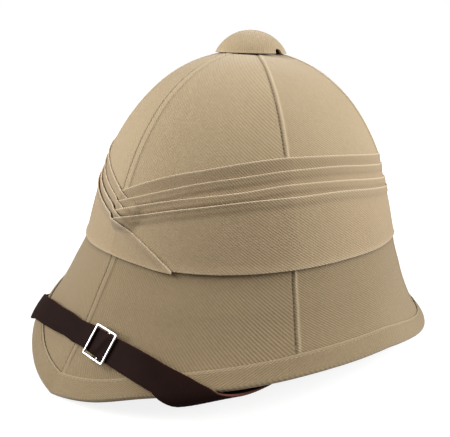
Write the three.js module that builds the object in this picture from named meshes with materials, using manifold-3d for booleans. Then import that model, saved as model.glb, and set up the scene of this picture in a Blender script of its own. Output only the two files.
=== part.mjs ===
// Pith helmet with a pleated wrap, vent button and buckled chin strap.
// Millimetres, +Z up, front towards -Y, the wearer's left towards +X.
import * as THREE from 'three';
import { mergeVertices } from 'three/addons/utils/BufferGeometryUtils.js';
import Module from 'manifold-3d';

const wasm = await Module();
wasm.setup();

// Crown: half-lengths at its base, and how far each way leans in towards the top
const baseHeight = 77.4;
const crownRise = 128.2;
const crownHalf = { front: 129.4, side: 113.3, rear: 116.6 };
const crownTaper = { front: 0.26, side: 0.289, rear: 0.184 };
const domePower = 2.97;
const domeRound = 0.43;

// Brim: half-lengths at its edge, and the share of the flare that starts at once
const edgeHalf = { front: 175.8, side: 138, rear: 161.5 };
const flareStart = { front: 0.63, side: 0.54, rear: -0.28 };
const frontPoint = 1.1;
const brimEdge = [
  { angle: 0, height: 1.2 },
  { angle: 15, height: 6.8 },
  { angle: 30, height: 15.7 },
  { angle: 60, height: 22.3 },
  { angle: 75, height: 23 },
  { angle: 90, height: 20.3 },
  { angle: 120, height: 1.2 },
  { angle: 142, height: -4.9 },
  { angle: 160, height: -5.4 },
  { angle: 180, height: -5.6 },
];

// Walls
const crownWall = 4;
const brimWall = 4;
const brimEdgeWall = 3;
const clothWall = 1;
const gap = 0.3;
const joinHeight = 84;
const ventShare = 0.07;

// Folded wrap: top of each fold and its lower edge, by angle from the front
const wrapFolds = [
  { angle: 0, fold1: 119, fold2: 112.5, fold3: 107, band: 101.7, hem: 79 },
  { angle: 10, fold1: 126.5, fold2: 119, fold3: 113, band: 107, hem: 78.5 },
  { angle: 20, fold1: 132.4, fold2: 124.5, fold3: 117.7, band: 111.8, hem: 77.5 },
  { angle: 30, fold1: 136.3, fold2: 129.1, fold3: 121.2, band: 115.2, hem: 77 },
  { angle: 45, fold1: 141, fold2: 133.3, fold3: 124.8, band: 119.1, hem: 77.3 },
  { angle: 60, fold1: 143.2, fold2: 136, fold3: 128, band: 120.7, hem: 78 },
  { angle: 80, fold1: 142.6, fold2: 136.2, fold3: 127.6, band: 120.9, hem: 78.3 },
  { angle: 100, fold1: 139.3, fold2: 132.5, fold3: 123.5, band: 116.9, hem: 77 },
  { angle: 120, fold1: 134.6, fold2: 127.5, fold3: 118, band: 111.5, hem: 75.5 },
  { angle: 150, fold1: 128.5, fold2: 121.5, fold3: 112.5, band: 106, hem: 74.5 },
  { angle: 180, fold1: 126, fold2: 119, fold3: 110, band: 103.5, hem: 74 },
];
const foldTuck = 3;
const foldLap = 4;
const foldRamp = 1.5;
const foldEndAngle = 0.2;
const wrapDepth = 2;
const wrapEase = 12;
const cornerAngle = 26;
const cornerDrop = 1.5;
const cornerSlope = 0.55;
const cornerBow = 0.0185;
const cornerLap = 6;

// Edge binding
const bindingOuterLeg = 12;
const bindingInnerLeg = 8;
const bindingRoll = 0.8;
const bindingTurn = 0.4;

// Vent button and its post
const buttonRadius = 26.3;
const buttonHeight = 16;
const buttonWall = 1.6;
const buttonLift = 1;
const notchRadius = 3.2;
const notchAngle = 92;
const postRadius = 3.5;
const washerRadius = 11;
const washerThickness = 1.5;

// Chin strap: how far its middle lies up the brim from the edge, then round the edge and up inside
const strapWidth = 16;
const strapThickness = 2;
const strapRun = [
  { angle: 0, leg: 40.8 },
  { angle: 6, leg: 39.2 },
  { angle: 12, leg: 34.6 },
  { angle: 18.5, leg: 27.8 },
  { angle: 25, leg: 18.5 },
  { angle: 30, leg: 10.8 },
  { angle: 36, leg: 2 },
  { angle: 40, leg: -4.6 },
  { angle: 45, leg: -11.6 },
  { angle: 50, leg: -18 },
  { angle: 56, leg: -23.5 },
  { angle: 64, leg: -29.5 },
  { angle: 72, leg: -35 },
  { angle: 84, leg: -41.5 },
];
const strapStandOff = 3.4;
const strapInside = 7.4;
const strapFold = 16;
const strapDrop = 4.8;
const strapFullness = 0.65;
const strapSag = { depth: 2.4, angle: 37, span: 7 };
const strapEndAngle = 84;
const strapStep = 4.2;
const strapAcross = [-1, -0.5, 0, 0.5, 1];
const studAngle = 80;
const studHeadRadius = 5;
const studHead = 1.5;
const studShank = 2;
const studBite = 1.9;

// Buckle
const buckleAngle = 12;
const buckleLength = 18;
const buckleWidth = 20.4;
const buckleWire = 1.8;
const buckleDepth = 1.4;
const buckleBar = 1.2;
const buckleCorner = 1;

// How the helmet rests on its front point and the rear of its brim
const restTilt = 0.0206;
const restLift = 5.6;
const centreShift = 7;

const columns = 48;
const columnStep = 360 / columns;
const reference = { small: 1e-3, step: 0.01 };

// Smooth reading of one column of a table whose rows run with the angle
function lookup(table, column, angle) {
  let row = 0;
  while (row < table.length - 2 && angle > table[row + 1].angle) row += 1;
  const slopeAt = (i) => {
    const from = table[Math.max(i - 1, 0)];
    const to = table[Math.min(i + 1, table.length - 1)];
    return (to[column] - from[column]) / (to.angle - from.angle);
  };
  const low = table[row];
  const high = table[row + 1];
  const span = high.angle - low.angle;
  const t = THREE.MathUtils.clamp((angle - low.angle) / span, 0, 1);
  const rise = high[column] - low[column];
  const bendLow = slopeAt(row) * span - rise;
  const bendHigh = rise - slopeAt(row + 1) * span;
  return low[column] + rise * t + t * (1 - t) * (bendLow * (1 - t) + bendHigh * t);
}

// Every piece is alike on both sides, so tables are read by the angle away from the front
function foldedAngle(angle) {
  const turn = THREE.MathUtils.euclideanModulo(angle, 360);
  return turn > 180 ? 360 - turn : turn;
}

function edgeHeight(angle) {
  return lookup(brimEdge, 'height', foldedAngle(angle));
}

// Half-length of one direction: level runs from 1 at the top to 0 at the base and -1 at the edge
function halfLength(way, level) {
  if (level >= 0) {
    const lean = 1 - crownTaper[way] * level;
    return crownHalf[way] * lean * (1 - level ** domePower) ** domeRound;
  }
  const drop = -level;
  const share = flareStart[way] * drop + (1 - flareStart[way]) * drop * drop;
  return crownHalf[way] + (edgeHalf[way] - crownHalf[way]) * share;
}

function levelHeight(angle, level) {
  const reach = level >= 0 ? crownRise : baseHeight - edgeHeight(angle);
  return baseHeight + reach * level;
}

function heightLevel(angle, height) {
  const reach = height >= baseHeight ? crownRise : baseHeight - edgeHeight(angle);
  return (height - baseHeight) / reach;
}

function outerPoint(angle, level) {
  const turn = THREE.MathUtils.degToRad(angle);
  const along = Math.cos(turn);
  const across = Math.sin(turn);
  const way = along >= 0 ? 'front' : 'rear';
  const sharp = along >= 0 && level < 0 ? 1 + (frontPoint - 1) * Math.min(-level, 1) : 1;
  return new THREE.Vector3(
    halfLength('side', level) * Math.sign(across) * Math.abs(across) ** sharp,
    -halfLength(way, level) * Math.sign(along) * Math.abs(along) ** sharp,
    levelHeight(angle, level),
  );
}

// Directions on the outer face: round the helmet, up the wall and out of it
function outerFrame(angle, level) {
  const step = reference.step;
  const round = outerPoint(angle + step, level).sub(outerPoint(angle - step, level)).normalize();
  const top = Math.min(level + step, 1 - reference.small);
  const up = outerPoint(angle, top).sub(outerPoint(angle, top - 2 * step)).normalize();
  const out = new THREE.Vector3().crossVectors(round, up).normalize();
  return { round, up, out };
}

// The shell is a little slimmer where the wrap covers it
function wrapInset(angle, level) {
  const height = levelHeight(angle, level);
  const turn = foldedAngle(angle);
  const top = lookup(wrapFolds, 'fold1', turn);
  const hem = lookup(wrapFolds, 'hem', turn);
  const below = THREE.MathUtils.smoothstep(top - height, -1, wrapEase);
  const above = THREE.MathUtils.smoothstep(height - hem, -2 * wrapEase, 0);
  return wrapDepth * below * above;
}

function skin(angle, level, offset) {
  const { out } = outerFrame(angle, level);
  return outerPoint(angle, level).addScaledVector(out, offset - wrapInset(angle, level));
}

function spread(count, from, to) {
  return Array.from({ length: count + 1 }, (_, i) => from + ((to - from) * i) / count);
}

// A solid through closed sections; an open run is capped at both ends
function loft(sections, closed) {
  const size = sections[0].length;
  const positions = sections.flat().flatMap((p) => [p.x, p.y, p.z]);
  const index = [];
  const quad = (a, b, c, d) => index.push(a, b, c, a, c, d);
  const spans = closed ? sections.length : sections.length - 1;
  for (let i = 0; i < spans; i += 1) {
    const here = i * size;
    const next = ((i + 1) % sections.length) * size;
    for (let j = 0; j < size; j += 1) {
      const k = (j + 1) % size;
      quad(here + j, next + j, next + k, here + k);
    }
  }
  if (!closed) {
    const last = (sections.length - 1) * size;
    for (let j = 0; j < size / 2 - 1; j += 1) {
      const k = size - 1 - j;
      quad(j, j + 1, k - 1, k);
      quad(last + k, last + k - 1, last + j + 1, last + j);
    }
  }
  const geometry = new THREE.BufferGeometry();
  geometry.setAttribute('position', new THREE.Float32BufferAttribute(positions, 3));
  geometry.setIndex(volume(positions, index) < 0 ? index.reverse() : index);
  return geometry;
}

function volume(positions, index) {
  const corner = (i) => new THREE.Vector3().fromArray(positions, 3 * index[i]);
  let total = 0;
  for (let i = 0; i < index.length; i += 3) {
    total += corner(i).dot(corner(i + 1).cross(corner(i + 2)));
  }
  return total / 6;
}

// Joins and cuts
function toSolid(geometry) {
  const bare = geometry.clone();
  bare.deleteAttribute('normal');
  bare.deleteAttribute('uv');
  const merged = mergeVertices(bare, reference.small);
  return new wasm.Manifold(new wasm.Mesh({
    numProp: 3,
    vertProperties: new Float32Array(merged.attributes.position.array),
    triVerts: new Uint32Array(merged.index.array),
  }));
}

function toGeometry(solid) {
  const mesh = solid.getMesh();
  const geometry = new THREE.BufferGeometry();
  geometry.setAttribute('position', new THREE.BufferAttribute(mesh.vertProperties, 3));
  geometry.setIndex(new THREE.BufferAttribute(mesh.triVerts, 1));
  return geometry;
}

function ring(section) {
  const sections = [];
  for (let i = 0; i < columns; i += 1) sections.push(section(i * columnStep));
  return loft(sections, true);
}

function crownGeometry() {
  const ventLevel = (1 - ventShare ** (1 / domeRound)) ** (1 / domePower);
  const domeRows = spread(7, 0, Math.PI / 2).map((turn) => Math.sin(turn));
  return ring((angle) => {
    const wrapTop = lookup(wrapFolds, 'fold1', foldedAngle(angle));
    const covered = spread(2, joinHeight, wrapTop - wrapEase);
    const easing = spread(4, wrapTop - wrapEase, wrapTop + 1).slice(1, -1);
    const bare = heightLevel(angle, wrapTop + 1);
    const levels = [
      ...[...covered, ...easing].map((height) => heightLevel(angle, height)),
      ...domeRows.map((row) => bare + (ventLevel - bare) * row),
    ];
    const outer = levels.map((level) => skin(angle, level, 0));
    const inner = levels.map((level) => skin(angle, level, -crownWall));
    return [...outer, ...inner.reverse()];
  });
}

// Level of a point a given way up the brim from its edge
function legLevel(angle, leg) {
  const { up } = outerFrame(angle, -1);
  return -1 + (leg * Math.abs(up.z)) / (baseHeight - edgeHeight(angle));
}

function brimGeometry() {
  return ring((angle) => {
    const top = heightLevel(angle, joinHeight - gap);
    const levels = [top, 0, -0.1, ...spread(3, -0.2, legLevel(angle, bindingOuterLeg)), -1];
    const wall = (level) => THREE.MathUtils.lerp(brimWall, brimEdgeWall, Math.max(-level, 0));
    const outer = levels.map((level) => skin(angle, level, 0));
    const inner = levels.map((level) => skin(angle, level, -wall(level)));
    return [...outer, ...inner.reverse()];
  });
}

// Height of the surface that the helmet rests on, in the helmet's own tilted frame
function restHeight(y) {
  return (-restLift - y * Math.sin(restTilt)) / Math.cos(restTilt);
}

// Folded cloth round the brim's edge, pressed flat where it rests
function bindingGeometry() {
  return ring((angle) => {
    const { up, out } = outerFrame(angle, -1);
    const edge = outerPoint(angle, -1);
    const at = (outward, downward) => {
      const point = edge.clone().addScaledVector(out, outward);
      return point.addScaledVector(up, -downward);
    };
    const near = gap + clothWall;
    const far = brimEdgeWall + gap;
    const outerTop = legLevel(angle, bindingOuterLeg);
    const innerTop = legLevel(angle, bindingInnerLeg);
    const inside = -brimWall - gap;
    const section = [
      skin(angle, outerTop, near),
      at(near, 0),
      at(near * bindingTurn, near + bindingRoll / 2),
      at(-far / 2, near + bindingRoll),
      at(-far - clothWall * bindingTurn, near + bindingRoll / 2),
      at(-far - clothWall, 0),
      skin(angle, innerTop, inside - clothWall),
      skin(angle, innerTop, inside),
      at(-far, 0),
      at(-far, gap),
      at(-far / 2, gap),
      at(gap, gap),
      at(gap, 0),
      skin(angle, outerTop, gap),
    ];
    for (const point of section) point.z = Math.max(point.z, restHeight(point.y));
    return section;
  });
}

// One fold of the wrap: flat on the shell below, stepped out over the fold above at its top edge
function foldSection(angle, low, high, rows, lap) {
  const under = gap;
  const over = gap + clothWall + gap;
  const lapStart = Math.max(high - lap, low + reference.step);
  const rampStart = Math.max(lapStart - foldRamp, low + reference.step / 2);
  const knee = THREE.MathUtils.clamp(baseHeight, low + reference.small, rampStart - reference.small);
  const rowHeights = rows > 1 ? [low, ...spread(rows - 1, knee, rampStart)] : [low, rampStart];
  const plain = rowHeights.map((height) => ({ height, lift: under }));
  const heights = [...plain, { height: lapStart, lift: over }, { height: high, lift: over }];
  const face = (thick) => heights.map(({ height, lift }) => {
    const raised = high - low <= lap ? over : lift;
    return skin(angle, heightLevel(angle, height), raised + thick);
  });
  return [...face(clothWall), ...face(0).reverse()];
}

function wrapAngles(from, to) {
  const inside = spread(2 * columns, 0, 720).filter((angle) => angle > from + 1 && angle < to - 1);
  return [from, ...inside, to];
}

function foldGeometry(top, next) {
  const angles = wrapAngles(foldEndAngle, 360 - foldEndAngle);
  const sections = angles.map((angle) => {
    const turn = foldedAngle(angle);
    const low = lookup(wrapFolds, next, turn) - foldTuck;
    return foldSection(angle, low, lookup(wrapFolds, top, turn), 1, foldLap);
  });
  return loft(sections, false);
}

// Slanting end of the wide band, which crosses the front and covers its own beginning
function cornerHeight(turn) {
  return wrapFolds[0].band - cornerSlope * turn - cornerBow * turn * turn;
}

function bandGeometry() {
  const angles = wrapAngles(foldEndAngle, 360 + cornerAngle);
  const sections = angles.map((angle) => {
    const turn = foldedAngle(angle);
    const hem = lookup(wrapFolds, 'hem', turn);
    const top = lookup(wrapFolds, 'band', turn);
    if (angle > 360) {
      const low = hem - (cornerDrop * turn) / cornerAngle;
      return foldSection(angle, low, Math.max(cornerHeight(turn), low + 1), 4, cornerLap);
    }
    const covered = angle < cornerAngle ? Math.max(cornerHeight(turn) - foldLap, hem) : hem;
    return foldSection(angle, covered, top, 4, foldLap);
  });
  return loft(sections, false);
}

function crownHeightAt(angle, radius) {
  let low = 0;
  let high = 1;
  for (let i = 0; i < 40; i += 1) {
    const middle = (low + high) / 2;
    const point = outerPoint(angle, middle);
    if (Math.hypot(point.x, point.y) > radius) low = middle;
    else high = middle;
  }
  return levelHeight(angle, low);
}

// Domed cap whose rim follows the crown, with one half-round vent notch
function buttonGeometry() {
  const sphere = (buttonRadius ** 2 + buttonHeight ** 2) / (2 * buttonHeight);
  const centre = crownHeightAt(0, buttonRadius) + buttonLift + buttonHeight - sphere;
  const inner = sphere - buttonWall;
  const rimTurn = Math.asin(buttonRadius / sphere);
  const turns = spread(6, rimTurn, 0).slice(0, -1);
  const onBall = (radius, turn) => [radius * Math.sin(turn), centre + radius * Math.cos(turn)];
  const profile = (radius) => turns.map((turn) => onBall(radius, turn));
  const rim = centre + sphere * Math.cos(rimTurn);
  const points = [
    [0, centre + inner],
    ...profile(inner).reverse(),
    [buttonRadius - buttonWall, rim],
    [buttonRadius, rim],
    ...profile(sphere).slice(1),
    [0, centre + sphere],
  ];
  const dome = new THREE.LatheGeometry(points.map(([x, y]) => new THREE.Vector2(x, y)), 32);
  dome.rotateX(Math.PI / 2);
  const notch = new THREE.CylinderGeometry(notchRadius, notchRadius, buttonRadius, 16);
  notch.translate(0, -buttonRadius, 0);
  notch.rotateZ(THREE.MathUtils.degToRad(notchAngle));
  notch.translate(0, 0, rim);
  return toGeometry(toSolid(dome).subtract(toSolid(notch)));
}

function postGeometry() {
  const sphere = (buttonRadius ** 2 + buttonHeight ** 2) / (2 * buttonHeight);
  const under = baseHeight + crownRise - crownWall - 1 - gap;
  const top = crownHeightAt(0, buttonRadius) + buttonLift + buttonHeight - buttonWall - gap;
  const sag = sphere - Math.sqrt(sphere ** 2 - postRadius ** 2);
  const profile = [
    [0, under - washerThickness],
    [washerRadius, under - washerThickness],
    [washerRadius, under],
    [postRadius, under],
    [postRadius, top - sag],
    [0, top - sag],
  ];
  const post = new THREE.LatheGeometry(profile.map(([x, y]) => new THREE.Vector2(x, y)), 20);
  return post.rotateX(Math.PI / 2);
}

// A point of the strap: up the outside of the brim, round its edge, or up the inside
function strapPoint(angle, leg, lift) {
  if (leg > 0 || leg < -strapFold) {
    const level = legLevel(angle, leg > 0 ? leg : -leg - strapFold);
    const offset = leg > 0 ? strapStandOff + lift : -strapInside - lift;
    return outerPoint(angle, level).addScaledVector(outerFrame(angle, level).out, offset);
  }
  const turn = (-leg / strapFold) * Math.PI;
  const { up, out } = outerFrame(angle, -1);
  const away = (Math.abs(angle) - strapSag.angle) / strapSag.span;
  const drop = strapDrop + strapSag.depth * Math.exp(-away * away) + lift;
  const inward = (1 - Math.cos(turn)) / 2;
  const outward = THREE.MathUtils.lerp(strapStandOff, -strapInside, inward) + lift * Math.cos(turn);
  const edge = outerPoint(angle, -1);
  return edge.addScaledVector(out, outward).addScaledVector(up, -drop * Math.sin(turn) ** strapFullness);
}

function strapLeg(angle) {
  return lookup(strapRun, 'leg', Math.abs(angle));
}

// The strap lies straight across its own run, so its width is laid off square to it
function strapAt(angle, across, lift) {
  const leg = strapLeg(angle);
  const ahead = strapPoint(angle + 0.5, leg, 0).distanceTo(strapPoint(angle - 0.5, leg, 0));
  const rise = strapLeg(angle + 0.5) - strapLeg(angle - 0.5);
  const run = Math.hypot(ahead, rise);
  return strapPoint(angle - (across * rise) / run / ahead, leg + (across * ahead) / run, lift);
}

function strapFrame(angle) {
  const centre = strapAt(angle, 0, 0);
  const along = strapAt(angle + 1, 0, 0).sub(strapAt(angle - 1, 0, 0)).normalize();
  const width = strapAt(angle, 1, 0).sub(strapAt(angle, -1, 0));
  const face = new THREE.Vector3().crossVectors(along, width).normalize();
  const across = new THREE.Vector3().crossVectors(face, along);
  return { centre, along, across, face };
}

function strapGeometry() {
  const half = strapWidth / 2;
  const angles = spread((2 * strapEndAngle) / strapStep, -strapEndAngle, strapEndAngle);
  const sections = angles.map((angle) => {
    const face = (lift) => strapAcross.map((share) => strapAt(angle, share * half, lift));
    return [...face(strapThickness / 2), ...face(-strapThickness / 2).reverse()];
  });
  return loft(sections, false);
}

// A pin with its head inside the brim, through a hole near the strap's end
function studMatrix(side) {
  const { centre, along, across, face } = strapFrame(side * studAngle);
  return new THREE.Matrix4().makeBasis(across.negate(), face.negate(), along).setPosition(centre);
}

function studGeometry() {
  const inner = -strapThickness / 2 - gap;
  const reach = strapThickness / 2 + studBite;
  const profile = [
    [0, inner - studHead],
    [studHeadRadius, inner - studHead],
    [studHeadRadius, inner],
    [studShank, inner],
    [studShank, reach],
    [0, reach],
  ];
  return new THREE.LatheGeometry(profile.map(([x, y]) => new THREE.Vector2(x, y)), 16);
}

function piercedStrap() {
  let strap = toSolid(strapGeometry());
  for (const side of [-1, 1]) {
    const hole = new THREE.CylinderGeometry(studShank + gap, studShank + gap, 3 * strapThickness, 16);
    strap = strap.subtract(toSolid(hole.applyMatrix4(studMatrix(side))));
  }
  return toGeometry(strap);
}

// Frame over the strap and a bar under it, joined by the two long sides
function buckleGeometry() {
  const frame = new THREE.Shape();
  const halfLong = buckleLength / 2;
  const halfWide = buckleWidth / 2;
  frame.moveTo(-halfLong + buckleCorner, -halfWide);
  frame.lineTo(halfLong - buckleCorner, -halfWide);
  frame.absarc(halfLong - buckleCorner, -halfWide + buckleCorner, buckleCorner, -Math.PI / 2, 0);
  frame.absarc(halfLong - buckleCorner, halfWide - buckleCorner, buckleCorner, 0, Math.PI / 2);
  frame.absarc(-halfLong + buckleCorner, halfWide - buckleCorner, buckleCorner, Math.PI / 2, Math.PI);
  frame.absarc(-halfLong + buckleCorner, -halfWide + buckleCorner, buckleCorner, Math.PI, 1.5 * Math.PI);
  const insideLong = halfLong - buckleWire;
  const insideWide = halfWide - buckleWire;
  const opening = new THREE.Path();
  opening.moveTo(-insideLong, -insideWide);
  opening.lineTo(-insideLong, insideWide);
  opening.lineTo(insideLong, insideWide);
  opening.lineTo(insideLong, -insideWide);
  frame.holes.push(opening);
  const face = strapThickness / 2 + gap;
  const sweep = { depth: buckleDepth, bevelEnabled: false, curveSegments: 3 };
  const ringPart = new THREE.ExtrudeGeometry(frame, sweep);
  ringPart.translate(0, 0, face);
  let buckle = toSolid(ringPart);
  const low = -face - buckleBar;
  const high = face + buckleDepth / 2;
  for (const side of [-1, 1]) {
    const rail = new THREE.BoxGeometry(buckleLength / 3, buckleWire, high - low);
    rail.translate(0, side * (halfWide - buckleWire / 2), (high + low) / 2);
    buckle = buckle.add(toSolid(rail));
  }
  const bar = new THREE.BoxGeometry(buckleWire, buckleWidth - buckleWire, buckleBar);
  bar.translate(0, 0, low + buckleBar / 2);
  return toGeometry(buckle.add(toSolid(bar)));
}

const cloth = () => new THREE.MeshStandardMaterial({ color: 0xb5a488, roughness: 0.95, metalness: 0 });
const wrapCloth = () => new THREE.MeshStandardMaterial({ color: 0xbcab90, roughness: 0.95, metalness: 0 });
const leather = () => new THREE.MeshStandardMaterial({ color: 0x2e1d1a, roughness: 0.5, metalness: 0 });
const steel = () => new THREE.MeshStandardMaterial({ color: 0xc9cacc, roughness: 0.25, metalness: 1 });

function piece(name, geometry, material) {
  const mesh = new THREE.Mesh(geometry, material);
  mesh.name = name;
  return mesh;
}

const shell = new THREE.Group();
shell.add(piece('crown', crownGeometry(), cloth()));
shell.add(piece('brim', brimGeometry(), cloth()));
shell.add(piece('brim_binding', bindingGeometry(), cloth()));
shell.add(piece('vent_button', buttonGeometry(), cloth()));
shell.add(piece('button_post', postGeometry(), steel()));

const wrap = new THREE.Group();
wrap.add(piece('wrap_pleat_1', foldGeometry('fold1', 'fold2'), wrapCloth()));
wrap.add(piece('wrap_pleat_2', foldGeometry('fold2', 'fold3'), wrapCloth()));
wrap.add(piece('wrap_pleat_3', foldGeometry('fold3', 'band'), wrapCloth()));
wrap.add(piece('wrap_band', bandGeometry(), wrapCloth()));

const strap = new THREE.Group();
strap.add(piece('chin_strap', piercedStrap(), leather()));
for (const [name, side] of [['strap_stud_left', 1], ['strap_stud_right', -1]]) {
  const stud = piece(name, studGeometry(), steel());
  studMatrix(side).decompose(stud.position, stud.quaternion, stud.scale);
  strap.add(stud);
}
const buckle = piece('buckle', buckleGeometry(), steel());
const seat = strapFrame(buckleAngle);
buckle.quaternion.setFromRotationMatrix(new THREE.Matrix4().makeBasis(seat.along, seat.across, seat.face));
buckle.position.copy(seat.centre);
strap.add(buckle);

const helmet = new THREE.Group();
helmet.add(shell, wrap, strap);
helmet.rotation.x = restTilt;
helmet.position.set(0, centreShift, restLift);

export default helmet;
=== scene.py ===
import math

import bpy
import numpy as np
from mathutils import Matrix, Vector


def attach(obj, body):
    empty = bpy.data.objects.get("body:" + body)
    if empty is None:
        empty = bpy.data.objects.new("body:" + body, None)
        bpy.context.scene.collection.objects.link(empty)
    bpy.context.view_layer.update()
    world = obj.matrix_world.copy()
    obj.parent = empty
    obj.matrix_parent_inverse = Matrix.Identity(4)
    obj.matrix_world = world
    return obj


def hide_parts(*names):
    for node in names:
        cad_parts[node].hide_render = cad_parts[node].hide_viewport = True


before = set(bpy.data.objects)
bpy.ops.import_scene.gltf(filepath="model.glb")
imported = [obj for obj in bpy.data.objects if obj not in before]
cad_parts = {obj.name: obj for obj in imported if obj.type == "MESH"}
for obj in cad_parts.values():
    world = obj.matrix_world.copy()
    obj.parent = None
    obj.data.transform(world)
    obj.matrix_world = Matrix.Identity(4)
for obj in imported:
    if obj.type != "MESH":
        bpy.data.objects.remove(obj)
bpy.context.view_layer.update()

# Helmet shape in millimetres, front towards -Y; angles are degrees round from the front centre
shell = {
    "baseHeight": 77.4,
    "crownRise": 128.2,
    "crownHalf": {"front": 129.4, "side": 113.3, "rear": 116.6},
    "crownTaper": {"front": 0.26, "side": 0.289, "rear": 0.184},
    "domePower": 2.97,
    "domeRound": 0.43,
    "edgeHalf": {"front": 175.8, "side": 138, "rear": 161.5},
    "flareStart": {"front": 0.63, "side": 0.54, "rear": -0.28},
    "frontPoint": 1.1,
    "edge": {0: 1.2, 15: 6.8, 30: 15.7, 60: 22.3, 75: 23, 90: 20.3,
             120: 1.2, 142: -4.9, 160: -5.4, 180: -5.6},
    "inset": 2,
    "joinHeight": 84,
    "gap": 0.3,
    "restTilt": 0.0206,
    "restLift": 5.6,
    "centreShift": 7.0,
}

# Top edge of each fold of the wrap and its hem, by angle
folds = {
    "fold1": {0: 119, 10: 126.5, 20: 132.4, 30: 136.3, 45: 141, 60: 143.2, 80: 142.6, 100: 139.3,
              120: 134.6, 150: 128.5, 180: 126},
    "fold2": {0: 112.5, 10: 119, 20: 124.5, 30: 129.1, 45: 133.3, 60: 136, 80: 136.2, 100: 132.5,
              120: 127.5, 150: 121.5, 180: 119},
    "fold3": {0: 107, 10: 113, 20: 117.7, 30: 121.2, 45: 124.8, 60: 128, 80: 127.6, 100: 123.5,
              120: 118, 150: 112.5, 180: 110},
    "band": {0: 101.7, 10: 107, 20: 111.8, 30: 115.2, 45: 119.1, 60: 120.7, 80: 120.9, 100: 116.9,
             120: 111.5, 150: 106, 180: 103.5},
    "hem": {0: 79, 10: 78.5, 20: 77.5, 30: 77, 45: 77.3, 60: 78, 80: 78.3, 100: 77,
            120: 75.5, 150: 74.5, 180: 74},
}

# Six panels meet at these angles; the front seam is lapped, the others stand as narrow ridges
seams = {
    "front": 0.0,
    "ridges": (61.0, 120.0, 180.0, 240.0, 299.0),
    "ridgeRise": 0.5,
    "ridgeWidth": 1.0,
    "ridgeHighlight": 0.55,
    "grooveDepth": 0.35,
    "grooveAside": 1.9,
    "grooveWidth": 0.8,
    "grooveShade": 0.38,
    "lapRise": 0.45,
    "lapWidth": 6.5,
    "lapEase": 1.2,
    "corner": 1.6,
    "cornerLevel": 0.4,
}


def smooth(value, low, high):
    t = np.clip((value - low) / (high - low), 0, 1)
    return t * t * (3 - 2 * t)


def bell(value, width):
    return np.exp(-((value / width) ** 2))


def readTable(rows, turn):
    stops = np.array(sorted(rows), float)
    values = np.array([rows[stop] for stop in sorted(rows)], float)
    turn = np.clip(turn, stops[0], stops[-1])
    before = np.clip(np.arange(len(stops)) - 1, 0, None)
    after = np.clip(np.arange(len(stops)) + 1, None, len(stops) - 1)
    slope = (values[after] - values[before]) / (stops[after] - stops[before])
    i = np.clip(np.searchsorted(stops, turn) - 1, 0, len(stops) - 2)
    span = stops[i + 1] - stops[i]
    rise = values[i + 1] - values[i]
    t = (turn - stops[i]) / span
    bend = (slope[i] * span - rise) * (1 - t) + (rise - slope[i + 1] * span) * t
    return values[i] + rise * t + t * (1 - t) * bend


def foldedAngle(angle):
    turn = np.mod(angle, 360)
    return np.where(turn > 180, 360 - turn, turn)


def edgeHeight(angle):
    return readTable(shell["edge"], foldedAngle(angle))


def halfLength(way, level):
    up = np.clip(level, 0, 1)
    crown = shell["crownHalf"][way] * (1 - shell["crownTaper"][way] * up)
    crown = crown * (1 - up ** shell["domePower"]) ** shell["domeRound"]
    drop = np.clip(-level, 0, None)
    share = shell["flareStart"][way] * drop + (1 - shell["flareStart"][way]) * drop * drop
    brim = shell["crownHalf"][way] + (shell["edgeHalf"][way] - shell["crownHalf"][way]) * share
    return np.where(level >= 0, crown, brim)


# Level is 1 at the top, 0 at the crown's base and -1 at the brim's edge
def levelHeight(angle, level):
    reach = np.where(level >= 0, shell["crownRise"], shell["baseHeight"] - edgeHeight(angle))
    return shell["baseHeight"] + reach * level


def heightLevel(angle, height):
    base = shell["baseHeight"]
    return (height - base) / np.where(height >= base, shell["crownRise"], base - edgeHeight(angle))


def outerPoint(angle, level):
    along, across = np.cos(np.radians(angle)), np.sin(np.radians(angle))
    length = np.where(along >= 0, halfLength("front", level), halfLength("rear", level))
    point = (shell["frontPoint"] - 1) * np.clip(-level, 0, 1)
    sharp = np.where(along >= 0, 1 + point, 1)
    x = halfLength("side", level) * np.sign(across) * np.abs(across) ** sharp
    y = -length * np.sign(along) * np.abs(along) ** sharp
    return np.stack([x, y, levelHeight(angle, level)], -1)


def unit(vectors):
    return vectors / np.linalg.norm(vectors, axis=-1, keepdims=True)


def outerFrame(angle, level, step=0.01):
    around = unit(outerPoint(angle + step, level) - outerPoint(angle - step, level))
    top = np.minimum(level + step, 0.999)
    up = unit(outerPoint(angle, top) - outerPoint(angle, top - 2 * step))
    return around, up, unit(np.cross(around, up))


# The shell is a little slimmer under the wrap
def wrapInset(angle, level):
    height, turn = levelHeight(angle, level), foldedAngle(angle)
    below = smooth(readTable(folds["fold1"], turn) - height, -1, 12)
    above = smooth(height - readTable(folds["hem"], turn), -24, 0)
    return shell["inset"] * below * above


# Panels lie a little flatter than the shell, so the seams between them stand as soft corners
def panelCorner(angle, level):
    turn = np.mod(angle, 360)
    stops = np.array([0.0, *seams["ridges"], 360.0])
    i = np.clip(np.searchsorted(stops, turn, side="right") - 1, 0, len(stops) - 2)
    share = (turn - stops[i]) / (stops[i + 1] - stops[i])
    fade = smooth(level, -1.0, -0.7) * (1 - smooth(level, 0.7, 0.95))
    return seams["corner"] * ((2 * share - 1) ** 2 - seams["cornerLevel"]) * fade


def skin(angle, level, offset):
    out = outerFrame(angle, level)[2]
    lift = offset - wrapInset(angle, level) + panelCorner(angle, level)
    return outerPoint(angle, level) + out * lift[..., None]


def legLevel(angle, leg):
    up = outerFrame(angle, np.full_like(angle, -1.0))[1]
    return -1 + leg * np.abs(up[..., 2]) / (shell["baseHeight"] - edgeHeight(angle))


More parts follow.
